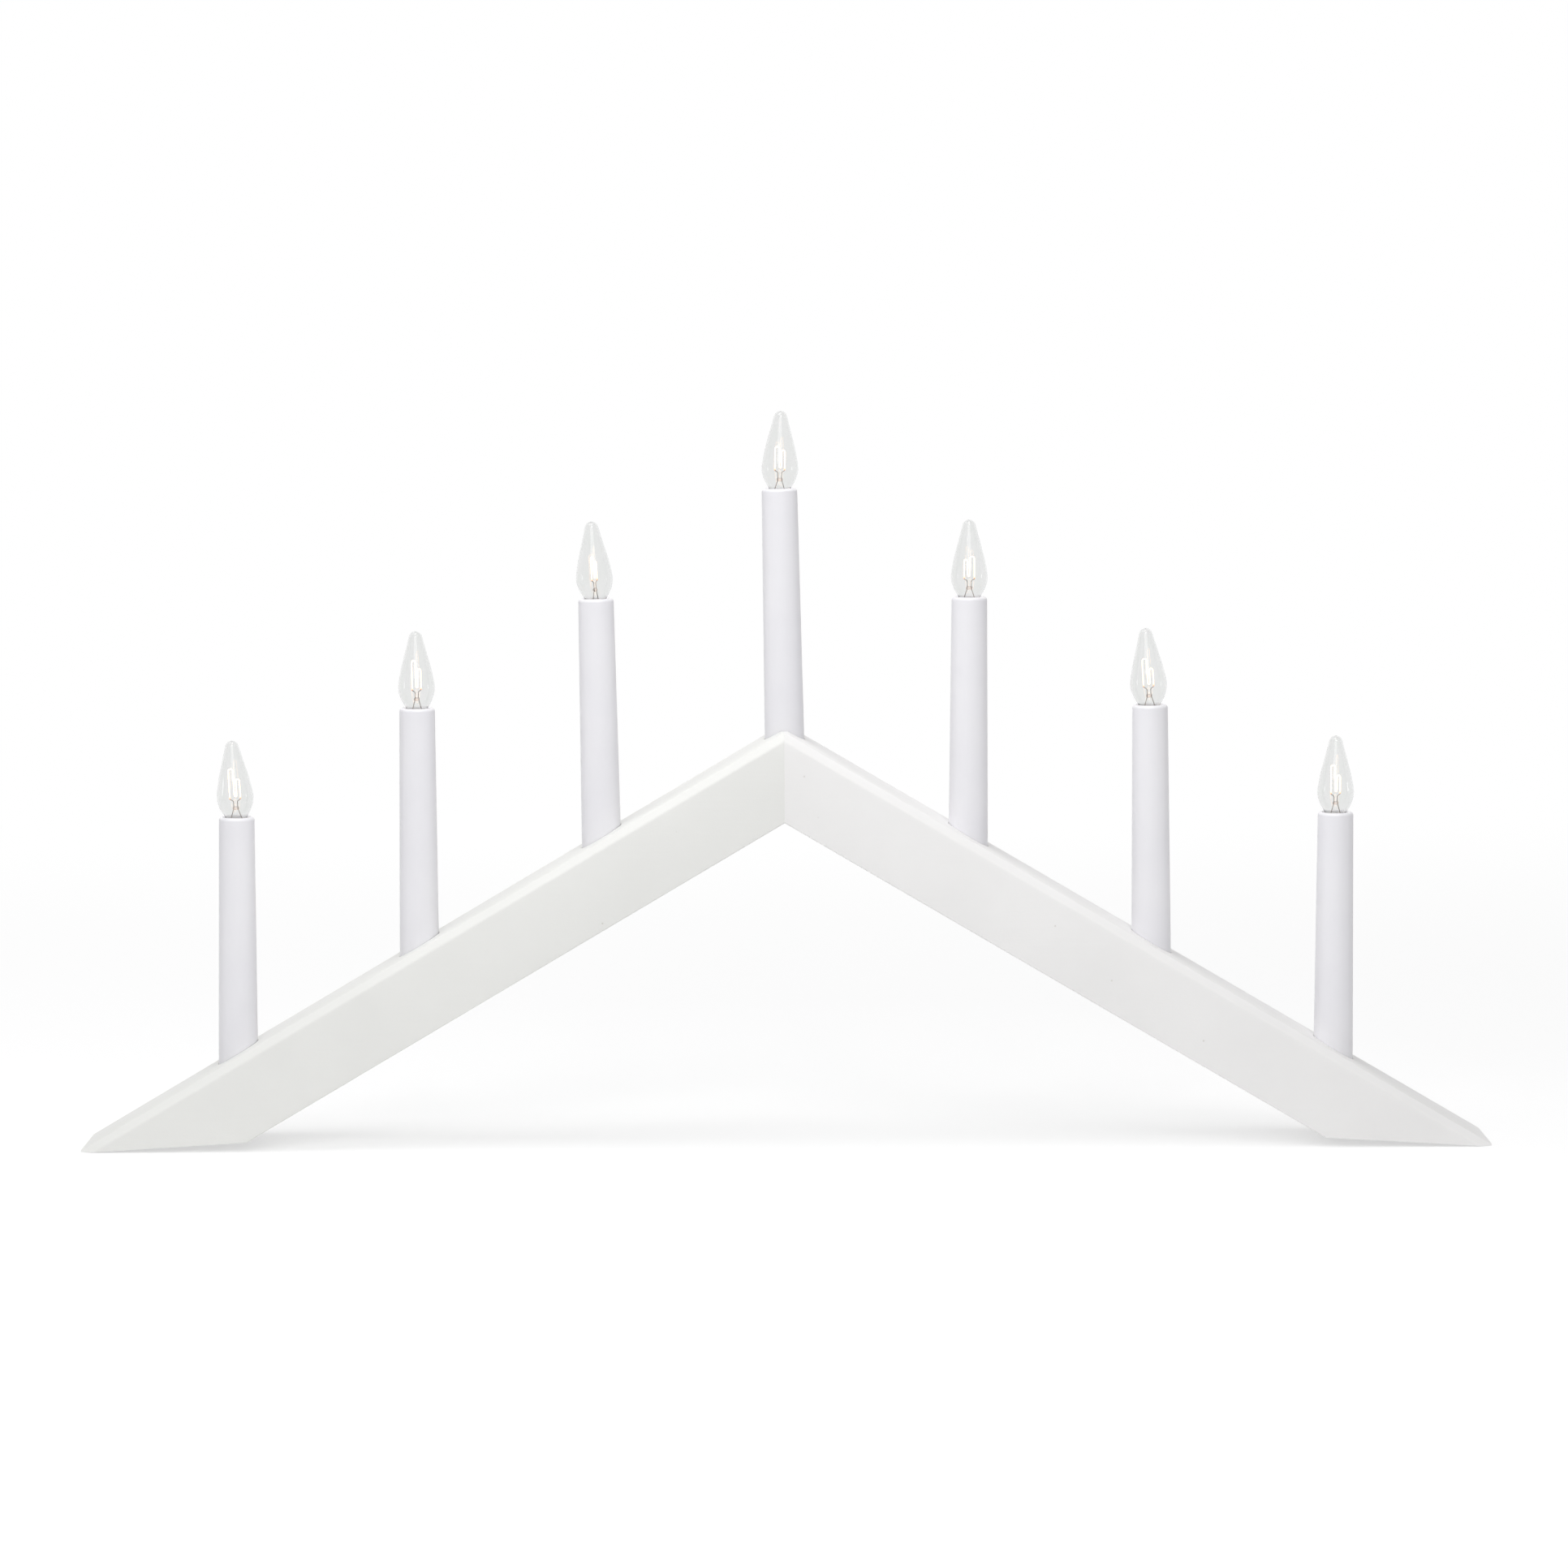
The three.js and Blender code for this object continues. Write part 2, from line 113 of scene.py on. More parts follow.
# The screw cap of a lamp; the button's edge is given in degrees up from level
CAP_TOP = -2.6 * MM
CAP_SHELL_BOTTOM = -11.2 * MM
CAP_NOSE_BOTTOM = -13 * MM
CAP_BOTTOM = -13.9 * MM
CAP_RADIUS = 4.55 * MM
CAP_NOSE_RADIUS = 2.6 * MM
BUTTON_RADIUS = 1.6 * MM
BUTTON_EDGE_ANGLE = -26
BRASS_WALL = 0.28 * MM

# The numbers of the cap's three materials
SHELL = 0
INSULATOR = 1
BUTTON = 2

# The rolled thread that the cap and the sleeve share
THREAD_PITCH = 1.8136 * MM
THREAD_DEPTH = 0.2 * MM
THREAD_RUN_OUT = 1.2 * MM

# The glass bulb: radius and height of the points that its outline passes through
NECK_RADIUS = 3.95 * MM
NECK_BOTTOM = -6.5 * MM
GLASS_WALL = 0.35 * MM
GLASS_TIP = 33.3 * MM
BULB_POINTS = [
    (4.1 * MM, CAP_TOP),
    (4.9 * MM, 0),
    (6.95 * MM, 4 * MM),
    (7.95 * MM, 8.8 * MM),
    (6.65 * MM, 16.6 * MM),
    (4.75 * MM, 23.85 * MM),
    (3.5 * MM, 28.6 * MM),
    (2.95 * MM, 30.8 * MM),
    (2.4 * MM, 32.1 * MM),
    (1.45 * MM, 32.95 * MM),
    (0.6 * MM, 33.25 * MM),
    (0, GLASS_TIP),
]

# The filament mount, with heights counted up from the rim
LEAD_RADIUS = 0.17 * MM
LEAD_SPREAD = 2.7 * MM
LEAD_PINCH = 0.85 * MM
LEAD_FOOT = -10.6 * MM
LEAD_BEND = -1.6 * MM
LEAD_ROUND = 0.6 * MM
BEAD_CENTRE = 3.8 * MM
BEAD_SIZE = Vector((1.45, 0.8, 0.95)) * MM
BEAD_WAIST = 0.25
BEAD_WAIST_WIDTH = 0.3
HOOK_HEIGHT = 6.9 * MM
FILAMENT_FOOT = 7.7 * MM
MIDDLE_FOOT = 8.8 * MM
TALL_LOOP_WIDTH = 2 * MM
SHORT_LOOP_WIDTH = 1.6 * MM
LOOP_GAP = 1 * MM
LOOP_ROUND = 1 * MM
GLOW_REACH = 1.2 * MM
COIL_RADIUS = 0.2 * MM
COIL_WIRE = 0.08 * MM
COIL_PITCH = 0.26 * MM
STEPS_PER_COIL = 10

# Each lamp's mount: its turn about the bulb in degrees, and the tops of its two loops in millimetres
MOUNT_TURNS = [0, 38, 63, 22, 165, 14, 24]
TALL_LOOPS = [20.9, 20.6, 18, 18, 17.3, 20, 20.4]
SHORT_LOOPS = [16.4, 16.8, 15.8, 16.4, 16, 15.6, 15.8]

# The patterns in the finishes: their sizes, depths and gloss, and how far they are drawn out or squeezed
PAINT_GRAIN = 2.2 * MM
PAINT_GRAIN_DRAW = 0.06
PAINT_GRAIN_DEPTH = 0.05 * MM
PAINT_STIPPLE = 0.7 * MM
PAINT_STIPPLE_DEPTH = 0.03 * MM
PAINT_TONE = 55 * MM
PAINT_ROUGHNESS = (0.44, 0.58)
NICK_SPACING = 13 * MM
NICK_SIZE = 0.55 * MM
NICK_DEPTH = 0.15 * MM
NICK_COVER = 0.6
CANDLE_FLOW = 1.6 * MM
CANDLE_FLOW_DRAW = 0.05
CANDLE_FLOW_DEPTH = 0.015 * MM
CANDLE_TONE = 30 * MM
CANDLE_ROUGHNESS = (0.36, 0.46)
HOLDER_SPECK = 0.5 * MM
METAL_CLOUD = 3 * MM
METAL_MARKS = 2 * MM
METAL_MARKS_DRAW = 14
METAL_WEAR = 0.08
FINE_DEPTH = 0.01 * MM
INSULATOR_CLOUD = 0.8 * MM
INSULATOR_DEPTH = 0.03 * MM
GLASS_WAVE = 3 * MM
GLASS_WAVE_DRAW = 0.3
GLASS_WAVE_DEPTH = 0.012 * MM
GLASS_BENDING = 1.47
BEAD_CLOUD = 0.6 * MM
BEAD_BENDING = 1.25
FLICKER = 1.5 * MM
FLICKER_RANGE = (0.9, 1.1)
GLOW_STRENGTH = (1, 4)
BEECH_GRAIN = 1.2 * MM
BEECH_GRAIN_DRAW = 0.08
BEECH_GRAIN_DEPTH = 0.04 * MM
RUB_MARKS = 4 * MM
RUB_DEPTH = 0.02 * MM
FLOOR_GRAIN = 3 * MM

# Where noise mostly lies, between 0 and 1
NOISE_SPAN = (0.3, 0.7)

# The colour sockets of a mix node, which share their names with its other sockets
MIX_FACTOR = 0
MIX_FIRST = 6
MIX_SECOND = 7
MIX_COLOUR = 2

# How finely round pieces are made
ROUND_SIDES = 64
SMALL_SIDES = 48
TINY_SIDES = 24
BEAD_RINGS = 14
LIP_STEPS = 8
INNER_LIP_STEPS = 4
CUP_RIM_STEPS = 3
BUTTON_STEPS = 5
SLEEVE_STEPS = 50
CAP_STEPS = 44
GLASS_STEPS = 6
LEAD_CORNER_STEPS = 4
LOOP_CORNER_STEPS = 6
EDGE_STEPS = 4
WELD = 0.001 * MM
SMOOTH_ANGLE = math.radians(32)

# The camera of the photograph
SENSOR_WIDTH = 36
LENS = 104.16
CAMERA_DISTANCE = 1954 * MM
CAMERA_PITCH = math.radians(6.24)
CAMERA_ROLL = math.radians(0.268)
CAMERA_TARGET = Vector((-0.24 * MM, -HALF_DEPTH, 160 * MM))

# The studio, and its floor that fades from half white near the object to pure white farther out
SOFTBOX_WHITE = (0.98, 0.982, 0.988)
ROOM_LIGHT = 0.3
FLOOR_SIZE = 60
FLOOR_WHITE = 0.5
FLOOR_GLOW = 1.17
FLOOR_FADE = (0.4, 1.3)

# The lamps: each one's place, width, height and power in watts
LAMPS = {
    "high_softbox": ((0.15, -1.2, 1.4), 0.6, 0.6, 6.4),
    "front_softbox": ((-0.08, -1.6, 1), 1.2, 0.6, 5.9),
    "overhead_softbox": ((0.05, -0.05, 1.5), 0.5, 0.5, 3.1),
    "top_softbox": ((-0.2, -0.35, 1.15), 0.5, 0.5, 3.4),
    "left_softbox": ((-0.75, 0, 1.4), 0.7, 0.7, 3),
    "back_softbox": ((-0.15, 2, 0.3), 1.2, 0.8, 12),
    "left_glint_softbox": ((-1.3, -0.2, 0.25), 0.2, 0.2, 0.4),
    "right_glint_softbox": ((1.3, -0.2, 0.25), 0.2, 0.2, 0.4),
}

# The standard curve between a colour's number on a screen and the light that it stands for
SCREEN_WHITE = 255
CURVE_TOE = 0.04045
CURVE_TOE_SLOPE = 12.92
CURVE_OFFSET = 0.055
CURVE_POWER = 2.4


def linear(red, green, blue):
    """A colour written as it looks on a screen, from 0 to 255, as the shader wants it."""

    def channel(value):
        value = value / SCREEN_WHITE
        if value <= CURVE_TOE:
            return value / CURVE_TOE_SLOPE
        return ((value + CURVE_OFFSET) / (1 + CURVE_OFFSET)) ** CURVE_POWER

    return (channel(red), channel(green), channel(blue), 1)


# The colours of the finishes, most of them as the darkest and the lightest tone
# Both boards have one and the same white paint. The left board's tones are set darker than the right's
# as painted shade and painted light, for how the light falls on the two arms.
SHADED_LEFT_PAINT = linear(228, 228, 225), linear(232, 232, 229)
LIT_RIGHT_PAINT = linear(234, 233, 232), linear(239, 238, 237)
NICK_GREY = linear(206, 203, 196)
CANDLE_WHITE = linear(232, 231, 235), linear(236, 235, 238)
HOLDER_WHITE = linear(222, 221, 214), linear(230, 229, 223)
BRASS = linear(196, 160, 84), linear(226, 192, 116)
NICKEL = linear(176, 172, 160), linear(214, 210, 198)
SOLDER = linear(150, 150, 150), linear(188, 188, 186)
LEAD_GREY = linear(138, 128, 121), linear(180, 170, 162)
INSULATOR_BLACK = linear(22, 20, 26), linear(48, 44, 54)
GLASS_TINT = linear(241, 242, 241), linear(243, 243, 243)
BEAD_TINT = linear(246, 232, 224), linear(252, 242, 236)
TUNGSTEN_GREY = linear(90, 84, 80)
COOL_GLOW = (1, 0.3, 0.06, 1)
HOT_GLOW = (1, 0.66, 0.4, 1)
BEECH = linear(190, 152, 110), linear(216, 184, 142)
INSULATION_WHITE = linear(226, 225, 221), linear(240, 240, 238)
FLOOR_GREY = linear(242, 242, 242), linear(244, 244, 244)


# Nodes of a material
def add_node(tree, kind, inputs=None, **settings):
    """Adds a node with its settings; an input is a number, a colour or another node's output."""
    node = tree.nodes.new(kind)
    for name, value in settings.items():
        setattr(node, name, value)
    for name, value in (inputs or {}).items():
        if isinstance(value, bpy.types.NodeSocket):
            tree.links.new(value, node.inputs[name])
        else:
            node.inputs[name].default_value = value
    return node


def new_finish(name, **values):
    """A material with its shader's plain values set, and the coordinates that its patterns read."""
    finish = bpy.data.materials.new(name)
    finish.use_nodes = True
    tree = finish.node_tree
    shader = tree.nodes["Principled BSDF"]
    for socket, value in values.items():
        shader.inputs[socket.replace("_", " ")].default_value = value
    place = tree.nodes.new("ShaderNodeTexCoord").outputs["Object"]
    return finish, tree, shader, place


def drawn_out(tree, place, scale, turn=0.0):
    """Coordinates turned about the Y axis and scaled, for a pattern that runs along a piece."""
    inputs = {"Vector": place, "Rotation": (0, turn, 0), "Scale": scale}
    return add_node(tree, "ShaderNodeMapping", inputs).outputs["Vector"]


def clouds(tree, place, size, detail=2.0):
    """Noise whose lumps are about this size."""
    inputs = {"Vector": place, "Scale": 1 / size, "Detail": detail}
    return add_node(tree, "ShaderNodeTexNoise", inputs).outputs["Fac"]


def ranged(tree, value, low, high, span=NOISE_SPAN):
    """A number that goes from low to high as the value goes over the span."""
    inputs = {
        "Value": value,
        "From Min": span[0],
        "From Max": span[1],
        "To Min": low,
        "To Max": high,
    }
    return add_node(tree, "ShaderNodeMapRange", inputs).outputs["Result"]


def blended(tree, amount, first, second):
    """A colour that goes from the first to the second with the amount."""
    inputs = {MIX_FACTOR: amount, MIX_FIRST: first, MIX_SECOND: second}
    return add_node(tree, "ShaderNodeMix", inputs, data_type="RGBA").outputs[MIX_COLOUR]


def mottled(tree, pattern, dark, light):
    """A colour that goes from dark to light with the pattern."""
    return blended(tree, ranged(tree, pattern, 0, 1), dark, light)


def relief(tree, height, depth, under=None):
    """A bump of this depth, on top of another where one is given."""
    inputs = {"Height": height, "Distance": depth, "Strength": 1.0}
    if under:
        inputs["Normal"] = under
    return add_node(tree, "ShaderNodeBump", inputs).outputs["Normal"]


def combined(tree, operation, first, second):
    """One number from two, such as their product or the greater of them."""
    inputs = {0: first, 1: second}
    return add_node(tree, "ShaderNodeMath", inputs, operation=operation).outputs[0]


def feed(tree, shader, **outputs):
    """Links each output to the shader's socket of that name."""
    for socket, output in outputs.items():
        tree.links.new(output, shader.inputs[socket.replace("_", " ")])


def nicks(tree, place):
    """How far a few small dents show, far apart from each other, and 0 between them."""
    inputs = {"Vector": place, "Scale": 1 / NICK_SPACING}
    near = add_node(tree, "ShaderNodeTexVoronoi", inputs).outputs["Distance"]
    size = NICK_SIZE / NICK_SPACING
    return ranged(tree, near, NICK_COVER, 0, span=(size / 2, size))


# Finishes
def white_paint(name, turn, colours):
    """Satin paint on a planed batten: roller stipple over faint grain, and a slightly uneven tone."""
    finish, tree, shader, place = new_finish(name, Roughness=0.5, IOR=1.45)
    along = drawn_out(tree, place, (PAINT_GRAIN_DRAW, 1, 1), turn)
    grain = clouds(tree, along, PAINT_GRAIN, detail=3)
    stipple = clouds(tree, place, PAINT_STIPPLE)
    tone = clouds(tree, place, PAINT_TONE, detail=3)
    nick = nicks(tree, place)
    bump = relief(tree, grain, PAINT_GRAIN_DEPTH, relief(tree, stipple, PAINT_STIPPLE_DEPTH))
    feed(
        tree,
        shader,
        # The colours given differ per board: the left board's darker tones are painted shade, the right
        # board's lighter ones painted light.
        Base_Color=blended(tree, nick, mottled(tree, tone, *colours), NICK_GREY),
        Roughness=ranged(tree, stipple, *PAINT_ROUGHNESS),
        Normal=relief(tree, nick, -NICK_DEPTH, bump),
    )
    return finish


def candle_plastic():
    """Moulded white plastic with faint flow lines down the tube."""
    finish, tree, shader, place = new_finish("white_candle_plastic", Roughness=0.4, IOR=1.5)
    flow = clouds(tree, drawn_out(tree, place, (1, 1, CANDLE_FLOW_DRAW)), CANDLE_FLOW)
    tone = clouds(tree, place, CANDLE_TONE)
    feed(
        tree,
        shader,
        Base_Color=mottled(tree, tone, *CANDLE_WHITE),
        Roughness=ranged(tree, flow, *CANDLE_ROUGHNESS),
        Normal=relief(tree, flow, CANDLE_FLOW_DEPTH),
    )
    return finish


def holder_plastic():
    """The duller, warmer plastic of the lamp holders."""
    finish, tree, shader, place = new_finish("holder_plastic", Roughness=0.55)
    speck = clouds(tree, place, HOLDER_SPECK)
    colour = mottled(tree, speck, *HOLDER_WHITE)
    feed(tree, shader, Base_Color=colour, Normal=relief(tree, speck, FINE_DEPTH))
    return finish


def sheet_metal(name, colours, roughness):
    """Rolled metal with a slightly clouded surface and fine marks round the thread."""
    finish, tree, shader, place = new_finish(name, Metallic=1.0)
    cloud = clouds(tree, place, METAL_CLOUD)
    marks = clouds(tree, drawn_out(tree, place, (1, 1, METAL_MARKS_DRAW)), METAL_MARKS)
    feed(
        tree,
        shader,
        Base_Color=mottled(tree, cloud, *colours),
        Roughness=ranged(tree, marks, roughness - METAL_WEAR, roughness + METAL_WEAR),
        Normal=relief(tree, marks, FINE_DEPTH),
    )
    return finish


def cap_insulator():
    """The dark fused glass between a lamp's shell and its button."""
    finish, tree, shader, place = new_finish("dark_insulator", Roughness=0.15)
    cloud = clouds(tree, place, INSULATOR_CLOUD)
    colour = mottled(tree, cloud, *INSULATOR_BLACK)
    feed(tree, shader, Base_Color=colour, Normal=relief(tree, cloud, INSULATOR_DEPTH))
    return finish


def clear_glass():
    """Thin blown glass with a faint waviness."""
    finish, tree, shader, place = new_finish(
        "clear_glass", Roughness=0.0, IOR=GLASS_BENDING, Transmission_Weight=1.0
    )
    wave = clouds(tree, drawn_out(tree, place, (1, 1, GLASS_WAVE_DRAW)), GLASS_WAVE, detail=1)
    colour = mottled(tree, wave, *GLASS_TINT)
    feed(tree, shader, Base_Color=colour, Normal=relief(tree, wave, GLASS_WAVE_DEPTH))
    return finish


def bead_glass():
    """The small bead of faintly tinted glass that holds the leads apart."""
    finish, tree, shader, place = new_finish(
        "bead_glass", Roughness=0.03, IOR=BEAD_BENDING, Transmission_Weight=1.0
    )
    feed(tree, shader, Base_Color=mottled(tree, clouds(tree, place, BEAD_CLOUD), *BEAD_TINT))
    return finish


def glowing_tungsten():
    """The lit filament: white hot along the loops, and cooler where the hooks take its heat."""
    finish, tree, shader, place = new_finish("glowing_tungsten", Base_Color=TUNGSTEN_GREY)
    glow = add_node(tree, "ShaderNodeAttribute", attribute_name="glow").outputs["Fac"]
    flicker = ranged(tree, clouds(tree, place, FLICKER), *FLICKER_RANGE)
    power = combined(tree, "MULTIPLY", glow, flicker)
    strength = ranged(tree, power, *GLOW_STRENGTH, span=(0, 1))
    warmth = blended(tree, glow, COOL_GLOW, HOT_GLOW)
    feed(tree, shader, Emission_Color=warmth, Emission_Strength=strength)
    return finish


def bare_beech():
    """Turned beech with its fine dark flecks."""
    finish, tree, shader, place = new_finish("bare_beech", Roughness=0.65)
    along = drawn_out(tree, place, (BEECH_GRAIN_DRAW, 1, 1))
    grain = clouds(tree, along, BEECH_GRAIN, detail=4)
    colour = mottled(tree, grain, *BEECH)
    feed(tree, shader, Base_Color=colour, Normal=relief(tree, grain, BEECH_GRAIN_DEPTH))
    return finish


def wire_insulation():
    """Soft white insulation, slightly marked from being pulled through the groove."""
    finish, tree, shader, place = new_finish("white_insulation", Roughness=0.45)
    rub = clouds(tree, place, RUB_MARKS, detail=3)
    colour = mottled(tree, rub, *INSULATION_WHITE)
    feed(tree, shader, Base_Color=colour, Normal=relief(tree, rub, RUB_DEPTH))
    return finish


# Making pieces
def mesh_object(name, shape, *finishes):
    """Turns the shape into an object, smooth over its gentle edges."""
    mesh = bpy.data.meshes.new(name)
    for face in shape.faces:
        face.smooth = True
    shape.to_mesh(mesh)
    shape.free()
    mesh.set_sharp_from_angle(angle=SMOOTH_ANGLE)
    for finish in finishes:
        mesh.materials.append(finish)
    made = bpy.data.objects.new(name, mesh)
    bpy.context.scene.collection.objects.link(made)
    return made


def add_piece(name, shape, finishes, body, slot, *nodes):
    """A finished piece that rides on a body and stands for the CAD nodes named."""
    piece = mesh_object(name, shape, *finishes)
    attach(piece, body)
    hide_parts(*nodes)
    return piece


def arc(centre, radius, start, end, steps):
    """Points of (radius, height) along a round edge, with angles in degrees up from level."""
    angles = [math.radians(start + (end - start) * step / steps) for step in range(steps + 1)]
    return [(centre[0] + radius * math.cos(a), centre[1] + radius * math.sin(a)) for a in angles]


def turned(profile, sides, closed=False):
    """A turned shape: the profile of (radius, height) pairs goes once round the upright axis."""
    shape = bmesh.new()
    points = [shape.verts.new((radius, 0, height)) for radius, height in profile]
    runs = list(zip(points, points[1:]))
    if closed:
        runs.append((points[-1], points[0]))
    edges = [shape.edges.new(run) for run in runs]
    bmesh.ops.spin(
        shape,
        geom=points + edges,
        cent=(0, 0, 0),
        axis=(0, 0, 1),
        dvec=(0, 0, 0),
        angle=FULL_TURN,
        steps=sides,
        use_merge=True,
        use_duplicate=False,
    )
    bmesh.ops.remove_doubles(shape, verts=shape.verts, dist=WELD)
    bmesh.ops.recalc_face_normals(shape, faces=shape.faces)
    return shape


def rod(radius, low, high, place, sides=ROUND_SIDES):
    """A round cutter between two heights of the frame that it is placed in."""
    shape = bmesh.new()
    middle = Matrix.Translation((0, 0, (low + high) / 2))
    bmesh.ops.create_cone(
        shape,
        cap_ends=True,
        cap_tris=False,
        segments=sides,
        radius1=radius,
        radius2=radius,
        depth=high - low,
        matrix=place @ middle,
    )
    return shape


def together(shapes):
    """Several shapes that lie clear of each other, as one."""
    whole = bmesh.new()
    for shape in shapes:
        mesh = bpy.data.meshes.new("part")
        shape.to_mesh(mesh)
        shape.free()
        whole.from_mesh(mesh)
        bpy.data.meshes.remove(mesh)
    return whole


def carved(shape, cutters):
    """What is left of a shape when each cutter in turn has been taken away."""
    block = mesh_object("block", shape)
    tools = [mesh_object("cutter", cutter) for cutter in cutters]
    for tool in tools:
        cut = block.modifiers.new("cut", "BOOLEAN")
        cut.operation = "DIFFERENCE"
        cut.solver = "EXACT"
        cut.object = tool
    left = bmesh.new()
    left.from_object(block, bpy.context.evaluated_depsgraph_get())
    for done in [block, *tools]:
        bpy.data.objects.remove(done)
    return left


def swept(routes, radius, roundness):
    """Wire along each route of points; the roundness adds sides to it."""
    curve = bpy.data.curves.new("route", "CURVE")
    curve.dimensions = "3D"
    curve.bevel_depth = radius
    curve.bevel_resolution = roundness
    curve.use_fill_caps = True
    for route in routes:
        line = curve.splines.new("POLY")
        line.points.add(len(route) - 1)
        for point, place in zip(line.points, route):
            point.co = (*place, 1)
    holder = bpy.data.objects.new("route", curve)
    bpy.context.scene.collection.objects.link(holder)
    bpy.context.view_layer.update()
    depsgraph = bpy.context.evaluated_depsgraph_get()
    wire = bpy.data.meshes.new_from_object(holder.evaluated_get(depsgraph))
    shape = bmesh.new()
    shape.from_mesh(wire)
    bpy.data.objects.remove(holder)
    bpy.data.meshes.remove(wire)
    bmesh.ops.remove_doubles(shape, verts=shape.verts, dist=WELD)
    bmesh.ops.recalc_face_normals(shape, faces=shape.faces)
    return shape


# The frames that the candles and bulbs stand in
def upright_to(direction):
    """The turn that leans an upright piece over to this direction."""
    return Vector((0, 0, 1)).rotation_difference(direction).to_matrix().to_4x4()


def candle_frame(number):
    """A candle's own frame: its rim lies at height 0 and its axis is Z."""
    joint = next(j for j in frame["joints"] if j["name"] == f"lamp_{number}_turn")
    return Matrix.Translation(joint["pos_m"]) @ upright_to(Vector(joint["axis"]))


def bulb_frame(number):
    """The frame of a bulb, which was cemented a little askew about the mouth of its cap."""
    mouth = candle_frame(number) @ Vector((0, 0, CAP_TOP))
    points = [vertex.co for vertex in frame["nodes"][f"lamp_glass_{number}"].data.vertices]
    tip = max(points, key=lambda point: (point - mouth).length)
    return Matrix.Translation(mouth) @ upright_to(tip - mouth) @ Matrix.Translation((0, 0, -CAP_TOP))


# The boards
def keep_beyond(shape, point, direction):
    """Cuts the shape with a plane, keeps what lies along the direction, and closes the cut."""
    cut = bmesh.ops.bisect_plane(
        shape,
        geom=shape.verts[:] + shape.edges[:] + shape.faces[:],
        dist=WELD,
        plane_co=point,
        plane_no=direction,
        clear_inner=True,
    )
    rim = [part for part in cut["geom_cut"] if isinstance(part, bmesh.types.BMEdge)]
    bmesh.ops.edgeloop_fill(shape, edges=rim)


def board_section():
    """The end face of a batten with its groove, its long edges rounded as sanding leaves them."""
    groove = GROOVE_WIDTH / 2
    shoulder = HALF_DEPTH - EDGE_CHAMFER
    cheek = BOARD_THICKNESS - EDGE_CHAMFER
    right = [(groove, 0), (HALF_DEPTH, 0), (HALF_DEPTH, cheek), (shoulder, BOARD_THICKNESS)]
    left = [(-across, height) for across, height in reversed(right)]
    roof = [(-groove, GROOVE_DEPTH), (groove, GROOVE_DEPTH)]
    shape = bmesh.new()
    corners = [shape.verts.new((0, across, height)) for across, height in right + left + roof]
    shape.faces.new(corners)
    long_edges = [corner for corner in corners if abs(corner.co.y) > groove + WELD]
    bmesh.ops.bevel(
        shape,
        geom=long_edges,
        offset=EDGE_ROUND,
        offset_type="OFFSET",
        segments=EDGE_STEPS,
        profile=0.5,
        affect="VERTICES",
        clamp_overlap=True,
        material=-1,
    )
    return shape


def soften_ridge(shape, side):
    """Takes the sharp ridge off the mitre, as sanding and paint do: a flat with a sloping shoulder."""
    shoulder = ARM_SLOPE / 2
    keep_beyond(shape, (0, 0, RIDGE_HEIGHT - RIDGE_WEAR), (0, 0, -1))
    down = (-side * math.sin(shoulder), 0, -math.cos(shoulder))
    keep_beyond(shape, (0, 0, RIDGE_HEIGHT - RIDGE_SHOULDER), down)


def board_blank(side):
    """A batten run along its arm, then cut for the mitre, the tip and the foot."""
    shape = board_section()
    reach = 2 * HALF_SPAN
    bmesh.ops.translate(shape, verts=shape.verts, vec=(-reach, 0, 0))
    run = bmesh.ops.extrude_face_region(shape, geom=shape.faces[:])
    moved = [part for part in run["geom"] if isinstance(part, bmesh.types.BMVert)]
    bmesh.ops.translate(shape, verts=moved, vec=(2 * reach, 0, 0))
    along = Vector((side * math.cos(ARM_SLOPE), 0, -math.sin(ARM_SLOPE)))
    across = Vector((0, 1, 0))
    outward = Vector((side * math.sin(ARM_SLOPE), 0, math.cos(ARM_SLOPE)))
    place = Matrix((along, across, outward)).transposed().to_4x4()
    place.translation = (0, 0, UNDERSIDE_AT_RIDGE)
    shape.transform(place)
    tip = (side * HALF_SPAN, 0, 0)
    keep_beyond(shape, (side * MITRE_FILLED_TO, 0, 0), (side, 0, 0))
    soften_ridge(shape, side)
    keep_beyond(shape, tip, (-side, 0, 0))
    keep_beyond(shape, tip, (side * math.sin(FOOT_TILT), 0, math.cos(FOOT_TILT)))
    bmesh.ops.recalc_face_normals(shape, faces=shape.faces)
    return shape


def top_at(x):
    return RIDGE_HEIGHT - abs(x) * SLOPE


def underside_at(x):
    return UNDERSIDE_AT_RIDGE - abs(x) * SLOPE


def candles_on(side):
    """The numbers of the candles that stand on an arm, the middle one on both."""
    middle = (CANDLES[0] + CANDLES[-1]) // 2
    return [number for number in CANDLES if (number - middle) * side >= 0]


def foot_x(number):
    middle = (CANDLES[0] + CANDLES[-1]) // 2
    return (number - middle) * CANDLE_PITCH


def seat_holes(side):
    floor = TUBE_BOTTOM - FIT_GAP
    radius = TUBE_FOOT_RADIUS + FIT_GAP
    return together([rod(radius, floor, 0, candle_frame(number)) for number in candles_on(side)])


def wire_bores(side):
    """The bores from the seats down to the groove."""
    bores = []
    for number in candles_on(side):
        x = foot_x(number)
        roof = underside_at(x) + GROOVE_DEPTH / math.cos(ARM_SLOPE)
        floor = roof - WIRE_BORE_RADIUS * SLOPE
        top = top_at(x) - SEAT_DEPTH + DRILL_THROUGH
        place = Matrix.Translation((x, 0, 0))
        bores.append(rod(WIRE_BORE_RADIUS, floor, top, place, SMALL_SIDES))
    return together(bores)


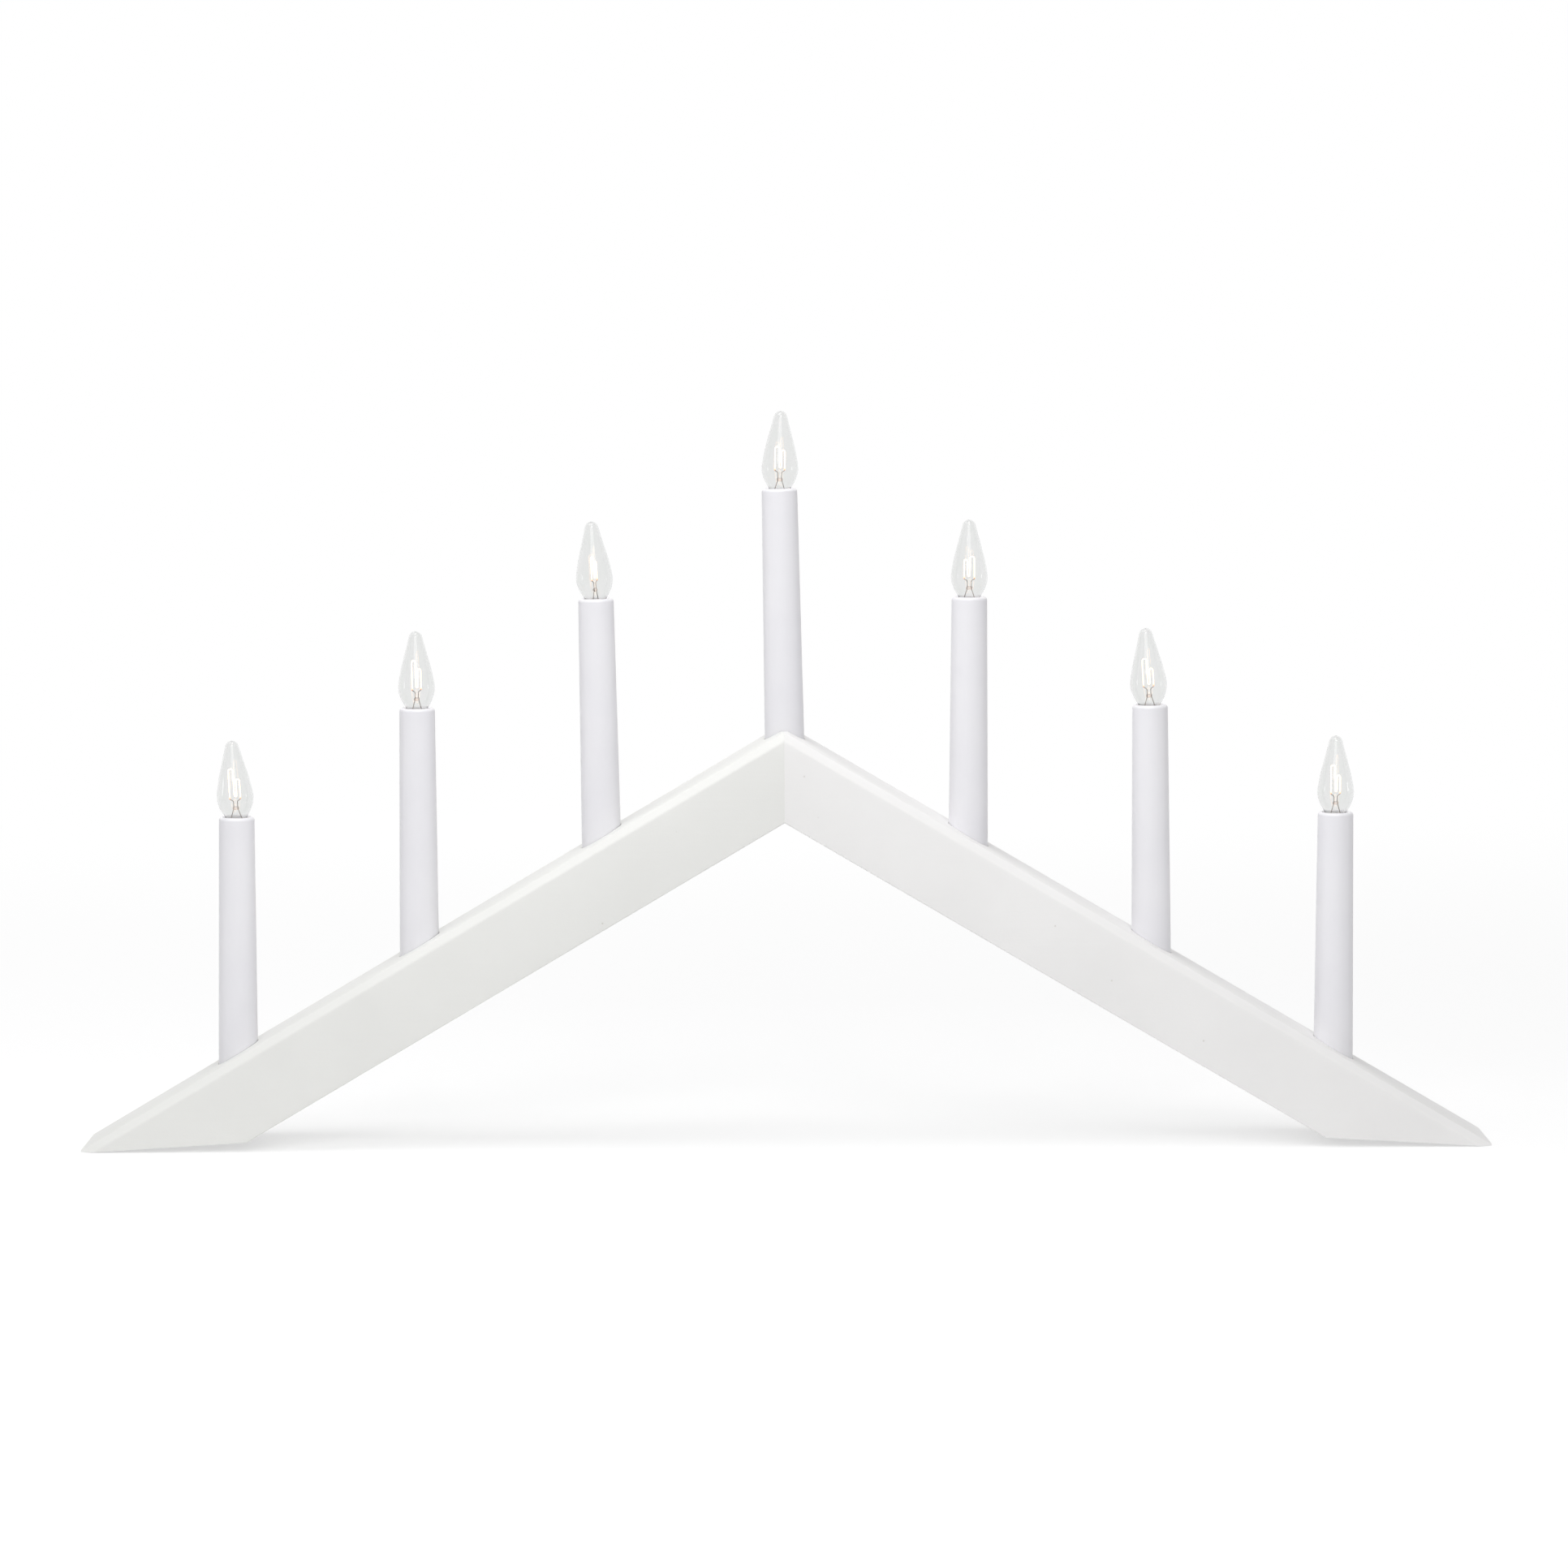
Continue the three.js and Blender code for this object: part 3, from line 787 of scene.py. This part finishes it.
def dowel_holes():
    """The two blind holes for the dowels, which cross the mitre."""
    low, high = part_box("mitre_dowel_back")
    centre = (low + high) / 2
    lying = Matrix.Rotation(QUARTER_TURN, 4, "Y")
    holes = []
    for y in (-centre.y, centre.y):
        place = Matrix.Translation((0, y, centre.z)) @ lying
        holes.append(rod(DOWEL_HOLE_RADIUS, -DOWEL_HOLE_DEPTH, DOWEL_HOLE_DEPTH, place, SMALL_SIDES))
    return together(holes)


def cord_hole():
    """The hole for the cord, in the back of the right arm."""
    z = underside_at(CORD_HOLE_X) + CORD_HOLE_LIFT / math.cos(ARM_SLOPE)
    through_back = Matrix.Translation((CORD_HOLE_X, 0, z)) @ Matrix.Rotation(-QUARTER_TURN, 4, "X")
    return rod(CORD_HOLE_RADIUS, WIRE_LANE, 2 * HALF_DEPTH, through_back, SMALL_SIDES)


def add_board(name, side, node, finish):
    """A board with all its holes; the cord comes in through the right one."""
    cutters = [seat_holes(side), wire_bores(side), dowel_holes()]
    if side > 0:
        cutters.append(cord_hole())
    board = carved(board_blank(side), cutters)
    add_piece(name, board, [finish], "candlestick", "painted_board", node)


# The candles
def tube_shape():
    outer_lip = arc((TUBE_TOP_RADIUS - LIP_ROUND, -LIP_ROUND), LIP_ROUND, 0, 90, LIP_STEPS)
    inner_centre = (TUBE_MOUTH + LIP_INNER_ROUND, -LIP_INNER_ROUND)
    inner_lip = arc(inner_centre, LIP_INNER_ROUND, 90, 180, INNER_LIP_STEPS)
    profile = [
        (TUBE_FOOT_RADIUS - TUBE_FOOT_WALL, TUBE_BOTTOM),
        (TUBE_FOOT_RADIUS, TUBE_BOTTOM),
        (TUBE_FOOT_RADIUS, -RIM_RISE),
        *outer_lip,
        *inner_lip,
        (TUBE_MOUTH, -LIP_THICKNESS),
        (TUBE_BORE, -LIP_THICKNESS),
        (TUBE_BORE, HOLDER_BOTTOM),
    ]
    return turned(profile, ROUND_SIDES, closed=True)


def holder_shape():
    """A cup with rounded rims, and two holes in its floor for the wires."""
    bore = HOLDER_RADIUS - HOLDER_WALL
    floor = HOLDER_BOTTOM + HOLDER_FLOOR
    edge = HOLDER_RADIUS - HOLDER_ROUND
    profile = [
        (0, HOLDER_BOTTOM),
        *arc((edge, HOLDER_BOTTOM + HOLDER_ROUND), HOLDER_ROUND, -90, 0, CUP_RIM_STEPS),
        *arc((edge, HOLDER_TOP - HOLDER_ROUND), HOLDER_ROUND, 0, 90, CUP_RIM_STEPS),
        (bore, HOLDER_TOP),
        (bore, floor),
        (0, floor),
    ]
    bottom = HOLDER_BOTTOM - DRILL_THROUGH
    top = floor + DRILL_THROUGH
    holes = [
        rod(WIRE_HOLE_RADIUS, bottom, top, Matrix.Translation((x, 0, 0)), TINY_SIDES)
        for x in (0, SLEEVE_WIRE_OFFSET)
    ]
    return carved(turned(profile, SMALL_SIDES), [together(holes)])


def wall_steps(radius, low, high, steps):
    """A straight wall from low to high, stepped finely enough to take a thread."""
    return [(radius, low + (high - low) * step / steps) for step in range(steps + 1)]


def roll_thread(shape, low, high, least_radius):
    """Presses the screw thread into the walls beyond the radius; it fades out at both heights."""
    for vertex in shape.verts:
        across = math.hypot(vertex.co.x, vertex.co.y)
        inset = min(vertex.co.z - low, high - vertex.co.z)
        if across < least_radius or inset <= 0:
            continue
        angle = math.atan2(vertex.co.y, vertex.co.x)
        fade = min(1, inset / THREAD_RUN_OUT)
        wave = math.cos(FULL_TURN * vertex.co.z / THREAD_PITCH - angle)
        vertex.co.xy *= (across + THREAD_DEPTH * fade * wave) / across


def sleeve_shape():
    """The brass sleeve that the lamp screws into, open at the bottom round the centre contact."""
    inside = SLEEVE_BOTTOM + BRASS_WALL
    outer = wall_steps(SLEEVE_RADIUS, SLEEVE_BOTTOM, SLEEVE_TOP, SLEEVE_STEPS)
    inner = wall_steps(SLEEVE_RADIUS - BRASS_WALL, SLEEVE_TOP, inside, SLEEVE_STEPS)
    floor = [(SLEEVE_MOUTH, inside), (SLEEVE_MOUTH, SLEEVE_BOTTOM)]
    shape = turned([*outer, *inner, *floor], SMALL_SIDES, closed=True)
    roll_thread(shape, SLEEVE_BOTTOM, SLEEVE_TOP, SLEEVE_RADIUS - 2 * BRASS_WALL)
    return shape


def cap_shape():
    """A lamp's cap: threaded shell, dark insulator and solder button, told apart by material number."""
    inside = CAP_SHELL_BOTTOM + BRASS_WALL
    button_centre = (0, CAP_BOTTOM + BUTTON_RADIUS)
    button = arc(button_centre, BUTTON_RADIUS, -90, BUTTON_EDGE_ANGLE, BUTTON_STEPS)
    shell = wall_steps(CAP_RADIUS, CAP_SHELL_BOTTOM, CAP_TOP, CAP_STEPS)
    lining = wall_steps(CAP_RADIUS - BRASS_WALL, CAP_TOP, inside, CAP_STEPS)
    profile = [
        *button,
        (CAP_NOSE_RADIUS, CAP_NOSE_BOTTOM),
        *shell,
        *lining,
        (0, inside),
    ]
    shape = turned(profile, SMALL_SIDES)
    roll_thread(shape, CAP_SHELL_BOTTOM, CAP_TOP, CAP_RADIUS - 2 * BRASS_WALL)
    for face in shape.faces:
        centre = face.calc_center_median()
        across = math.hypot(centre.x, centre.y)
        if centre.z < CAP_SHELL_BOTTOM:
            face.material_index = BUTTON if across < BUTTON_RADIUS else INSULATOR
        else:
            face.material_index = SHELL
    return shape


def through(points, steps):
    """A smooth line through the points, with so many steps from each to the next."""
    path = [Vector(point) for point in points]
    path = [2 * path[0] - path[1], *path, 2 * path[-1] - path[-2]]
    line = []
    for before, start, end, after in zip(path, path[1:], path[2:], path[3:]):
        for step in range(steps):
            t = step / steps
            line.append(
                0.5
                * (
                    2 * start
                    + (end - before) * t
                    + (2 * before - 5 * start + 4 * end - after) * t**2
                    + (3 * start - before - 3 * end + after) * t**3
                )
            )
    return [*line, path[-2]]


def inner_wall(outline, wall):
    """The outline moved inwards by the wall's thickness, square to itself."""
    inner = []
    for before, point, after in zip(outline, outline[1:], outline[2:]):
        run = (after - before).normalized()
        inner.append(point + wall * Vector((-run.y, run.x)))
    return inner


def glass_shape():
    """The drop-shaped bulb, blown in one piece and open at the neck."""
    outline = [Vector((NECK_RADIUS, NECK_BOTTOM)), *through(BULB_POINTS, GLASS_STEPS)]
    outline[-1].x = 0
    inner = inner_wall(outline, GLASS_WALL)
    start = Vector((outline[0].x - GLASS_WALL, outline[0].y))
    tip = Vector((0, GLASS_TIP - GLASS_WALL))
    profile = [*outline, tip, *reversed(inner), start]
    return turned([(max(0, point.x), point.y) for point in profile], ROUND_SIDES, closed=True)


# The filament mount, drawn flat on facing the front and then turned about the bulb
def upright_points(pairs):
    return [Vector((x, 0, z)) for x, z in pairs]


def rounded(corners, reach, steps):
    """The route with each corner rounded by a short curve."""
    line = [corners[0]]
    for before, corner, after in zip(corners, corners[1:], corners[2:]):
        back = before - corner
        ahead = after - corner
        start = corner + back.normalized() * min(reach, back.length / 2)
        end = corner + ahead.normalized() * min(reach, ahead.length / 2)
        for step in range(steps + 1):
            t = step / steps
            line.append(start.lerp(corner, t).lerp(corner.lerp(end, t), t))
    return [*line, corners[-1]]


def filament_sides():
    """The places across of the two loops' four wires, from left to right."""
    half = (TALL_LOOP_WIDTH + LOOP_GAP + SHORT_LOOP_WIDTH) / 2
    return (-half, -half + TALL_LOOP_WIDTH, half - SHORT_LOOP_WIDTH, half)


def leads_shape():
    """The two leads, spread at the foot, pinched at the bead and hooked outwards at the top."""
    outer = filament_sides()[-1]
    routes = []
    for side in (-1, 1):
        corners = upright_points([
            (side * LEAD_SPREAD, LEAD_FOOT),
            (side * LEAD_SPREAD, LEAD_BEND),
            (side * LEAD_PINCH, BEAD_CENTRE),
            (side * LEAD_PINCH, HOOK_HEIGHT),
            (side * outer, FILAMENT_FOOT),
            (side * outer, FILAMENT_FOOT + 2 * LEAD_RADIUS),
        ])
        routes.append(rounded(corners, LEAD_ROUND, LEAD_CORNER_STEPS))
    return swept(routes, LEAD_RADIUS, roundness=2)


def bead_shape():
    """A bead squeezed flat round the leads, with a waist between them."""
    shape = bmesh.new()
    bmesh.ops.create_uvsphere(shape, u_segments=TINY_SIDES, v_segments=BEAD_RINGS, radius=1)
    for vertex in shape.verts:
        waist = 1 - BEAD_WAIST * math.exp(-((vertex.co.x / BEAD_WAIST_WIDTH) ** 2))
        vertex.co.y *= waist
        vertex.co.z *= waist
        vertex.co *= BEAD_SIZE
        vertex.co.z += BEAD_CENTRE
    bmesh.ops.recalc_face_normals(shape, faces=shape.faces)
    return shape


def evenly(route, gap):
    """Points at even gaps along a route, each with the way that the route runs there."""
    points = []
    left_over = 0.0
    for start, end in zip(route, route[1:]):
        length = (end - start).length
        if length == 0:
            continue
        run = (end - start) / length
        walked = left_over
        while walked < length:
            points.append((start + run * walked, run))
            walked += gap
        left_over = walked - length
    return points


def filament_shape(number):
    """The coiled filament, bent into a tall and a short loop, with its glow kept per point."""
    tall = TALL_LOOPS[number - 1] * MM
    short = SHORT_LOOPS[number - 1] * MM
    a, b, c, d = filament_sides()
    corners = upright_points([
        (a, FILAMENT_FOOT), (a, tall), (b, tall), (b, MIDDLE_FOOT),
        (c, MIDDLE_FOOT), (c, short), (d, short), (d, FILAMENT_FOOT),
    ])
    towards = Vector((0, 1, 0))
    coil = []
    route = rounded(corners, LOOP_ROUND, LOOP_CORNER_STEPS)
    for step, (point, run) in enumerate(evenly(route, COIL_PITCH / STEPS_PER_COIL)):
        angle = FULL_TURN * step / STEPS_PER_COIL
        sideways = run.cross(towards)
        coil.append(point + COIL_RADIUS * (math.cos(angle) * sideways + math.sin(angle) * towards))
    shape = swept([coil], COIL_WIRE, roundness=0)
    glow = shape.verts.layers.float.new("glow")
    for vertex in shape.verts:
        vertex[glow] = min(1, max(0, (vertex.co.z - FILAMENT_FOOT) / GLOW_REACH))
    return shape


def add_candle(number, finishes):
    """A candle tube with its lamp holder, the sleeve in that, and the cap of its lamp."""
    place = candle_frame(number)

    def stand(piece, shape, used, body, slot):
        """Stands a piece on the candle's axis, in place of the CAD node named by the slot and the
        candle's number.
        """
        shape.transform(place)
        chosen = [finishes[name] for name in used]
        add_piece(f"{piece}_{number}", shape, chosen, body, slot, f"{slot}_{number}")

    stand("white_candle", tube_shape(), ["candle"], "candlestick", "candle_tube")
    stand("holder_cup", holder_shape(), ["holder"], "candlestick", "lamp_holder")
    stand("threaded_sleeve", sleeve_shape(), ["brass"], "candlestick", "contact_sleeve")
    cap_finishes = ["nickel", "insulator", "solder"]
    stand("screw_cap", cap_shape(), cap_finishes, f"lamp_{number}_screw", "lamp_cap")


def add_bulb(number, finishes):
    """A lamp's glass with the filament mount inside, which turn together."""
    body = f"lamp_{number}_bulb"
    askew = bulb_frame(number)
    mount_frame = askew @ Matrix.Rotation(math.radians(MOUNT_TURNS[number - 1]), 4, "Z")
    glass = glass_shape()
    glass.transform(askew)
    node = f"lamp_glass_{number}"
    bulb = add_piece(f"glass_bulb_{number}", glass, [finishes["glass"]], body, "lamp_glass", node)
    bulb.visible_shadow = False
    mount = {
        "lead_wires": (leads_shape(), "lead"),
        "glass_bead": (bead_shape(), "bead"),
        "coiled_filament": (filament_shape(number), "tungsten"),
    }
    for name, (shape, finish) in mount.items():
        shape.transform(mount_frame)
        node = f"lamp_filament_{number}"
        add_piece(f"{name}_{number}", shape, [finishes[finish]], body, "lamp_filament", node)


# The CAD's own pieces that stay
def dress(node, finish):
    """Gives a CAD node this finish in place of all that its mesh has."""
    mesh = frame["nodes"][node].data
    if not mesh.materials:
        mesh.materials.append(finish)
    for index in range(len(mesh.materials)):
        mesh.materials[index] = finish


# The studio
def white_for_the_camera(tree):
    """1 for rays that show the background, and 0 for those that light the object."""
    path = tree.nodes.new("ShaderNodeLightPath")
    seen = path.outputs["Is Camera Ray"]
    for ray in ("Is Glossy Ray", "Is Transmission Ray"):
        seen = combined(tree, "MAXIMUM", seen, path.outputs[ray])
    return seen


def add_room():
    """Even white light all round, which shows as white behind the object."""
    world = bpy.data.worlds.new("white_room")
    world.use_nodes = True
    tree = world.node_tree
    strength = ranged(tree, white_for_the_camera(tree), ROOM_LIGHT, 1, span=(0, 1))
    background = tree.nodes["Background"]
    background.inputs["Color"].default_value = (1, 1, 1, 1)
    tree.links.new(strength, background.inputs["Strength"])
    bpy.context.scene.world = world


def floor_finish():
    """Plain white that shows the object's soft shadow and runs out to pure white round it."""
    finish, tree, shader, place = new_finish("white_floor", Roughness=0.9, Specular_IOR_Level=0.1)
    feed(tree, shader, Base_Color=mottled(tree, clouds(tree, place, FLOOR_GRAIN), *FLOOR_GREY))
    distance = add_node(tree, "ShaderNodeVectorMath", {"Vector": place}, operation="LENGTH")
    fade = ranged(tree, distance.outputs["Value"], FLOOR_WHITE, 1, span=FLOOR_FADE)
    shown = combined(tree, "MULTIPLY", fade, white_for_the_camera(tree))
    glow = ranged(tree, distance.outputs["Value"], FLOOR_GLOW, 1, span=FLOOR_FADE)
    white = add_node(tree, "ShaderNodeEmission", {"Strength": glow})
    mix = add_node(tree, "ShaderNodeMixShader", {"Fac": shown})
    tree.links.new(shader.outputs["BSDF"], mix.inputs[1])
    tree.links.new(white.outputs["Emission"], mix.inputs[2])
    output = tree.nodes["Material Output"]
    tree.links.new(mix.outputs["Shader"], output.inputs["Surface"])
    return finish


def add_floor():
    shape = bmesh.new()
    bmesh.ops.create_grid(shape, x_segments=1, y_segments=1, size=FLOOR_SIZE / 2)
    mesh_object("floor", shape, floor_finish())


def add_softbox(name, place, width, height, power):
    """An area lamp that faces the middle of the object."""
    lamp = bpy.data.lights.new(name, "AREA")
    lamp.color = SOFTBOX_WHITE
    lamp.shape = "RECTANGLE"
    lamp.size = width
    lamp.size_y = height
    lamp.energy = power
    stand = bpy.data.objects.new(name, lamp)
    facing = (Vector(place) - CAMERA_TARGET).to_track_quat("Z", "Y").to_matrix().to_4x4()
    stand.matrix_world = Matrix.Translation(place) @ facing
    stand.visible_camera = False
    stand.visible_transmission = False
    bpy.context.scene.collection.objects.link(stand)
    return stand


def add_lights():
    """Soft light from all round; the small boxes at the sides put glints on the glass."""
    stands = {name: add_softbox(name, *settings) for name, settings in LAMPS.items()}
    stands["back_softbox"].visible_glossy = False


def add_camera():
    lens = bpy.data.cameras.new("photo_camera")
    lens.sensor_width = SENSOR_WIDTH
    lens.lens = LENS
    camera = bpy.data.objects.new("photo_camera", lens)
    forward = Vector((0, math.cos(CAMERA_PITCH), -math.sin(CAMERA_PITCH)))
    look = Matrix.Rotation(QUARTER_TURN - CAMERA_PITCH, 4, "X")
    roll = Matrix.Rotation(-CAMERA_ROLL, 4, "Z")
    camera.matrix_world = Matrix.Translation(CAMERA_TARGET - forward * CAMERA_DISTANCE) @ look @ roll
    bpy.context.scene.collection.objects.link(camera)
    bpy.context.scene.camera = camera


finishes = {
    "candle": candle_plastic(),
    "holder": holder_plastic(),
    "brass": sheet_metal("rolled_brass", BRASS, roughness=0.3),
    "nickel": sheet_metal("nickelled_brass", NICKEL, roughness=0.25),
    "solder": sheet_metal("solder", SOLDER, roughness=0.45),
    "insulator": cap_insulator(),
    "glass": clear_glass(),
    "bead": bead_glass(),
    "lead": sheet_metal("lead_wire", LEAD_GREY, roughness=0.4),
    "tungsten": glowing_tungsten(),
}
# Lit and shaded copies of one white paint: the left board's is painted darker than the right's, as
# painted shade for how the light falls.
paints = {
    -1: white_paint("white_paint_left_shaded", -ARM_SLOPE, SHADED_LEFT_PAINT),
    1: white_paint("white_paint_right_lit", ARM_SLOPE, LIT_RIGHT_PAINT),
}
beech = bare_beech()
insulation = wire_insulation()

add_camera()
add_board("left_board", -1, "left_arm", paints[-1])
add_board("right_board", 1, "right_arm", paints[1])
for candle_number in CANDLES:
    add_candle(candle_number, finishes)
    add_bulb(candle_number, finishes)
dress("left_cover_strip", paints[-1])
dress("right_cover_strip", paints[1])
dress("mitre_dowel_front", beech)
dress("mitre_dowel_back", beech)
dress("supply_lead_near", insulation)
dress("supply_lead_far", insulation)
for first, second in zip(CANDLES, CANDLES[1:]):
    dress(f"link_wire_{first}_{second}", insulation)
add_room()
add_floor()
add_lights()

bpy.context.scene.view_settings.view_transform = "Standard"
